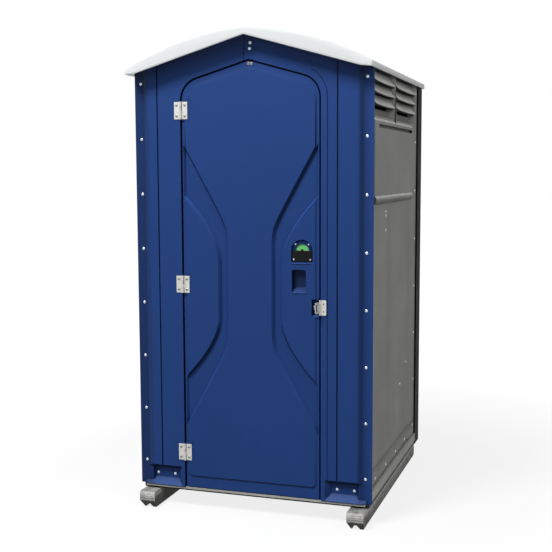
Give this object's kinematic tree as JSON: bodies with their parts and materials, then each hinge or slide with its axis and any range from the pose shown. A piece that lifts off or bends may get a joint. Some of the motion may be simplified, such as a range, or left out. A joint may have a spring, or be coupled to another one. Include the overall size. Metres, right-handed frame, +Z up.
{
  "type": "portable toilet cabin",
  "caption": "Moulded plastic toilet cabin on skids with an embossed hinged door, louvred side walls, a vaulted roof, an occupancy latch and a fitted tank.",
  "frame": {"origin": "on the ground, midway between the roof's front and rear lips and on the cabin's middle plane", "axes": "+Z up, -Y out of the door, +X to the right of a person facing the door from outside"},
  "size_m": [1.134, 1.27, 2.19],
  "materials": {
    "blue_sheet": "fine moulded grain, satin",
    "grey_sheet": "fine moulded grain, satin",
    "black_sheet": "fine moulded grain, matt",
    "roof_sheet": "milky translucent, smooth",
    "base_plastic": "rotomoulded, slightly mottled",
    "skid_plastic": "extruded recycled plastic, scuffed",
    "black_plastic": "moulded, satin",
    "bezel_plastic": "moulded, semi-gloss",
    "disc_green": "green half shown when free, red half when occupied",
    "tank_plastic": "moulded, satin",
    "seat_plastic": "moulded, glossy",
    "pipe_plastic": "extruded, matt",
    "collar_rubber": "smooth, matt",
    "zinc_steel": "zinc plated",
    "hinge_steel": "stainless, lightly brushed",
    "aluminium_rivet": "bare, dull"
  },
  "bodies": {
    "cabin": {"skid_left": "skid_plastic", "skid_right": "skid_plastic", "skid_bolts": "zinc_steel", "base_pan": "base_plastic", "hinge_jamb": "blue_sheet", "latch_jamb": "blue_sheet", "side_panel_left": "grey_sheet", "side_panel_right": "grey_sheet", "rear_panel": "black_sheet", "roof": "roof_sheet", "front_rivets": "aluminium_rivet", "pocket_rivets": "aluminium_rivet", "seam_rivets": "aluminium_rivet", "side_rivets": "aluminium_rivet", "rear_rivets": "aluminium_rivet", "base_rivets": "aluminium_rivet", "wall_rivets": "aluminium_rivet", "coat_hook": "zinc_steel", "hinge_jamb_leaves": "hinge_steel", "hinge_pins": "hinge_steel", "hinge_springs": "hinge_steel", "hinge_jamb_rivets": "aluminium_rivet", "strike_plate": "zinc_steel", "hasp_plate": "hinge_steel", "hasp_pin": "hinge_steel", "hasp_rivets": "aluminium_rivet", "waste_tank": "tank_plastic", "seat_hinge_block": "black_plastic", "seat_hinge_rod": "zinc_steel", "vent_pipe": "pipe_plastic", "vent_collar": "collar_rubber", "vent_cap": "pipe_plastic", "urinal": "tank_plastic", "urinal_drain": "collar_rubber", "urinal_screws": "zinc_steel", "paper_bracket": "zinc_steel", "paper_screws": "zinc_steel"},
    "door": {"door_outer_skin": "blue_sheet", "door_inner_skin": "blue_sheet", "door_grab_handle": "black_plastic", "handle_screws": "zinc_steel", "hinge_door_leaves": "hinge_steel", "hinge_door_rivets": "aluminium_rivet", "indicator_bezel": "bezel_plastic", "indicator_cover": "black_plastic", "indicator_screws": "zinc_steel", "hasp_staple": "hinge_steel"},
    "latch": {"indicator_disc": "disc_green", "latch_spindle": "zinc_steel", "latch_lever": "black_plastic", "latch_paddle": "black_plastic"},
    "hasp": {"hasp_leaf": "hinge_steel"},
    "seat": {"toilet_seat": "seat_plastic"},
    "lid": {"seat_lid": "seat_plastic"},
    "spindle": {"paper_spindle": "black_plastic"}
  },
  "joints": [
    {"name": "door_swing", "type": "hinge", "parent": "cabin", "child": "door", "pos_m": [-0.327, -0.567, 1.056], "axis": [0, 0, -1], "range_deg": [0, 110], "stiffness_Nm_per_rad": 2, "springref_deg": -20.05},
    {"name": "latch_turn", "type": "hinge", "parent": "door", "child": "latch", "pos_m": [0.241, -0.532, 1.221], "axis": [0, 1, 0], "range_deg": [0, 180]},
    {"name": "hasp_swing", "type": "hinge", "parent": "cabin", "child": "hasp", "pos_m": [0.3245, -0.5662, 0.972], "axis": [0, 0, 1], "range_deg": [-76, 80]},
    {"name": "seat_lift", "type": "hinge", "parent": "cabin", "child": "seat", "pos_m": [0, 0.4917, 0.612], "axis": [-1, 0, 0], "range_deg": [0, 95]},
    {"name": "lid_lift", "type": "hinge", "parent": "cabin", "child": "lid", "pos_m": [0, 0.4917, 0.612], "axis": [-1, 0, 0], "range_deg": [-100, 0]},
    {"name": "spindle_spin", "type": "hinge", "parent": "cabin", "child": "spindle", "pos_m": [-0.4597, 0.1648, 0.773], "axis": [0, 1, 0], "continuous": true}
  ]
}
